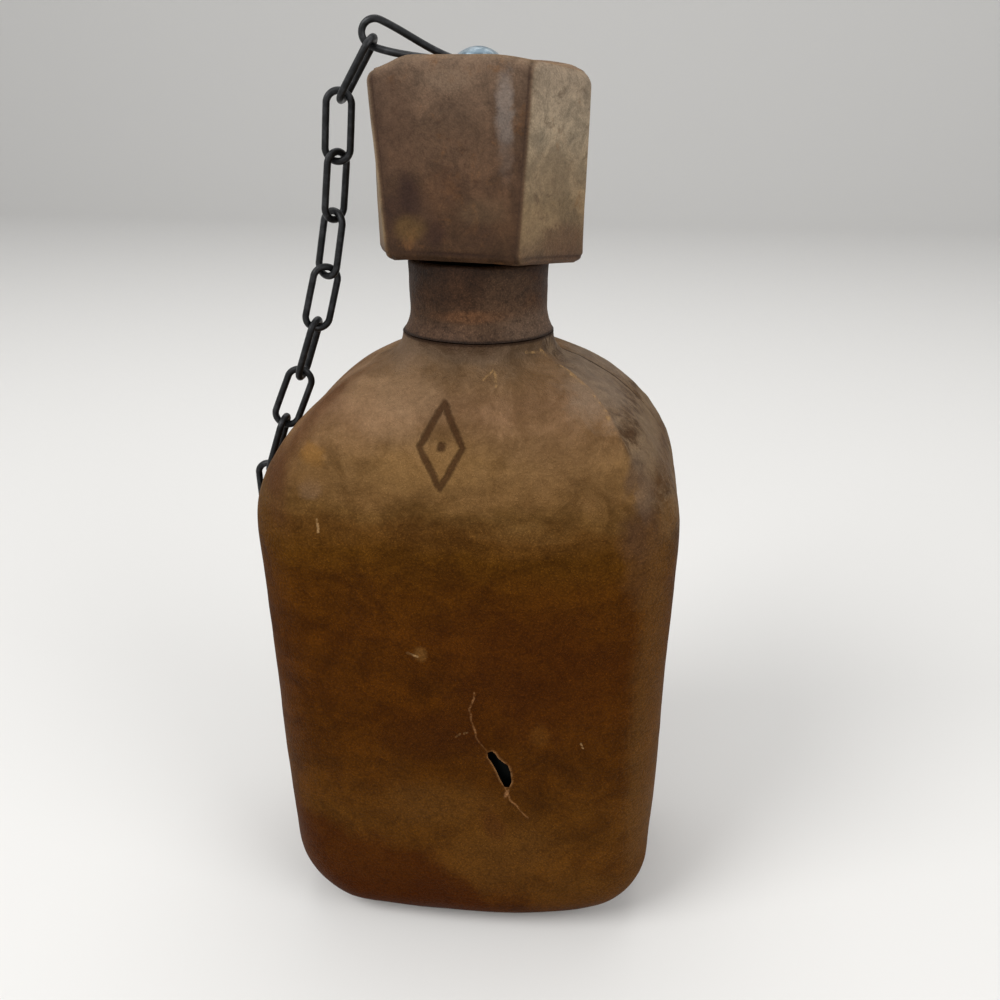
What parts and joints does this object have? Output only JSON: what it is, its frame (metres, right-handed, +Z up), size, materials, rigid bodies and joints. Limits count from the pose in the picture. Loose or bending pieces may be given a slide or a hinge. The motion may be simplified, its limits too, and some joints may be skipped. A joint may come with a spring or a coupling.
{
  "type": "leather-wrapped decanter",
  "caption": "Flat-fronted glass decanter in aged brown leather, with a round neck and a leather-covered block stopper on a cork, tied to the side by a short dark chain.",
  "frame": {"origin": "middle of the base, on the face that the decanter stands on", "axes": "+Z up along the neck, -Y out of the front face, +X to the right as seen from the front; the chain is on the -X side"},
  "size_m": [0.1223, 0.0842, 0.2517],
  "materials": {
    "glass": "clear, faintly green bottle glass, hardly seen",
    "body_leather": "aged brown leather, pebbled grain, waxed, worn lighter on the creases",
    "base_leather": "dark brown leather, matt",
    "neck_leather": "dark grey-brown leather with reddish patches",
    "stopper_leather": "red-brown leather, mottled dark, satin",
    "stopper_plate_leather": "khaki-tan leather, worn",
    "stopper_wood": "plain wood core, hidden",
    "cork": "natural cork",
    "chain_iron": "blackened iron wire, satin",
    "screw_pewter": "dull bluish pewter dome"
  },
  "bodies": {
    "bottle": {"glass_flask": "glass", "front_leather": "body_leather", "back_leather": "body_leather", "base_leather": "base_leather", "neck_sleeve": "neck_leather", "anchor_nail": "chain_iron", "chain_link_13": "chain_iron"},
    "stopper": {"stopper_core": "stopper_wood", "stopper_side_wrap": "stopper_leather", "stopper_top_leather": "stopper_plate_leather", "stopper_bottom_leather": "stopper_plate_leather", "cork_plug": "cork", "stopper_screw": "screw_pewter"},
    "chain_link_01_body": {"chain_link_01": "chain_iron"},
    "chain_link_02_body": {"chain_link_02": "chain_iron"},
    "chain_link_03_body": {"chain_link_03": "chain_iron"},
    "chain_link_04_body": {"chain_link_04": "chain_iron"},
    "chain_link_05_body": {"chain_link_05": "chain_iron"},
    "chain_link_06_body": {"chain_link_06": "chain_iron"},
    "chain_link_07_body": {"chain_link_07": "chain_iron"},
    "chain_link_08_body": {"chain_link_08": "chain_iron"},
    "chain_link_09_body": {"chain_link_09": "chain_iron"},
    "chain_link_10_body": {"chain_link_10": "chain_iron"},
    "chain_link_11_body": {"chain_link_11": "chain_iron"},
    "chain_link_12_body": {"chain_link_12": "chain_iron"}
  },
  "joints": [
    {"name": "stopper_lift", "type": "slide", "parent": "bottle", "child": "chain_link_01_body", "axis": [0, 0, 1], "range_m": [0, 0.016]},
    {"name": "stopper_turn", "type": "hinge", "parent": "chain_link_01_body", "child": "stopper", "pos_m": [0, 0, 0.22], "axis": [0, 0, 1], "continuous": true},
    {"name": "chain_pivot_01", "type": "hinge", "parent": "chain_link_01_body", "child": "chain_link_02_body", "pos_m": [-0.0258, 0, 0.24735], "axis": [0, 1, 0], "range_deg": [0, 4]},
    {"name": "chain_pivot_02", "type": "hinge", "parent": "chain_link_02_body", "child": "chain_link_03_body", "pos_m": [-0.03602, 0, 0.23062], "axis": [0, 1, 0], "range_deg": [0, 9]},
    {"name": "chain_pivot_03", "type": "hinge", "parent": "chain_link_03_body", "child": "chain_link_04_body", "pos_m": [-0.03703, 0, 0.21793], "axis": [0, 1, 0], "range_deg": [-4, 0]},
    {"name": "chain_pivot_04", "type": "hinge", "parent": "chain_link_04_body", "child": "chain_link_05_body", "pos_m": [-0.0387, 0, 0.20304], "axis": [0, 1, 0], "range_deg": [-6, 0]},
    {"name": "chain_pivot_05", "type": "hinge", "parent": "chain_link_05_body", "child": "chain_link_06_body", "pos_m": [-0.04144, 0, 0.18828], "axis": [0, 1, 0], "range_deg": [-7, 0]},
    {"name": "chain_pivot_06", "type": "hinge", "parent": "chain_link_06_body", "child": "chain_link_07_body", "pos_m": [-0.04527, 0, 0.17387], "axis": [0, 1, 0], "range_deg": [-7, 0]},
    {"name": "chain_pivot_07", "type": "hinge", "parent": "chain_link_07_body", "child": "chain_link_08_body", "pos_m": [-0.0502, 0, 0.1597], "axis": [0, 1, 0], "range_deg": [-5, 0]},
    {"name": "chain_pivot_08", "type": "hinge", "parent": "chain_link_08_body", "child": "chain_link_09_body", "pos_m": [-0.05612, 0, 0.14581], "axis": [0, 1, 0], "range_deg": [0, 13]},
    {"name": "chain_pivot_09", "type": "hinge", "parent": "chain_link_09_body", "child": "chain_link_10_body", "pos_m": [-0.0617, 0, 0.12938], "axis": [1, 0, 0], "range_deg": [-7, 0]},
    {"name": "chain_pivot_10", "type": "hinge", "parent": "chain_link_10_body", "child": "chain_link_11_body", "pos_m": [-0.0617, 0.00178, 0.11439], "axis": [1, 0, 0], "range_deg": [-24, 0]},
    {"name": "chain_pivot_11", "type": "hinge", "parent": "chain_link_11_body", "child": "chain_link_12_body", "pos_m": [-0.0617, 0.00702, 0.10517], "axis": [1, 0, 0], "range_deg": [-21, 0]}
  ],
  "couplings": [
    {"joint": "chain_pivot_01", "follows": "stopper_lift", "rad_per_m": 2.7707},
    {"joint": "chain_pivot_02", "follows": "stopper_lift", "rad_per_m": 7.828},
    {"joint": "chain_pivot_03", "follows": "stopper_lift", "rad_per_m": -2.8116},
    {"joint": "chain_pivot_04", "follows": "stopper_lift", "rad_per_m": -4.8411},
    {"joint": "chain_pivot_05", "follows": "stopper_lift", "rad_per_m": -5.8514},
    {"joint": "chain_pivot_06", "follows": "stopper_lift", "rad_per_m": -5.7242},
    {"joint": "chain_pivot_07", "follows": "stopper_lift", "rad_per_m": -3.5461},
    {"joint": "chain_pivot_08", "follows": "stopper_lift", "rad_per_m": 12.176},
    {"joint": "chain_pivot_09", "follows": "stopper_lift", "rad_per_m": -6.092},
    {"joint": "chain_pivot_10", "follows": "stopper_lift", "rad_per_m": -24.475},
    {"joint": "chain_pivot_11", "follows": "stopper_lift", "rad_per_m": -21.739}
  ]
}
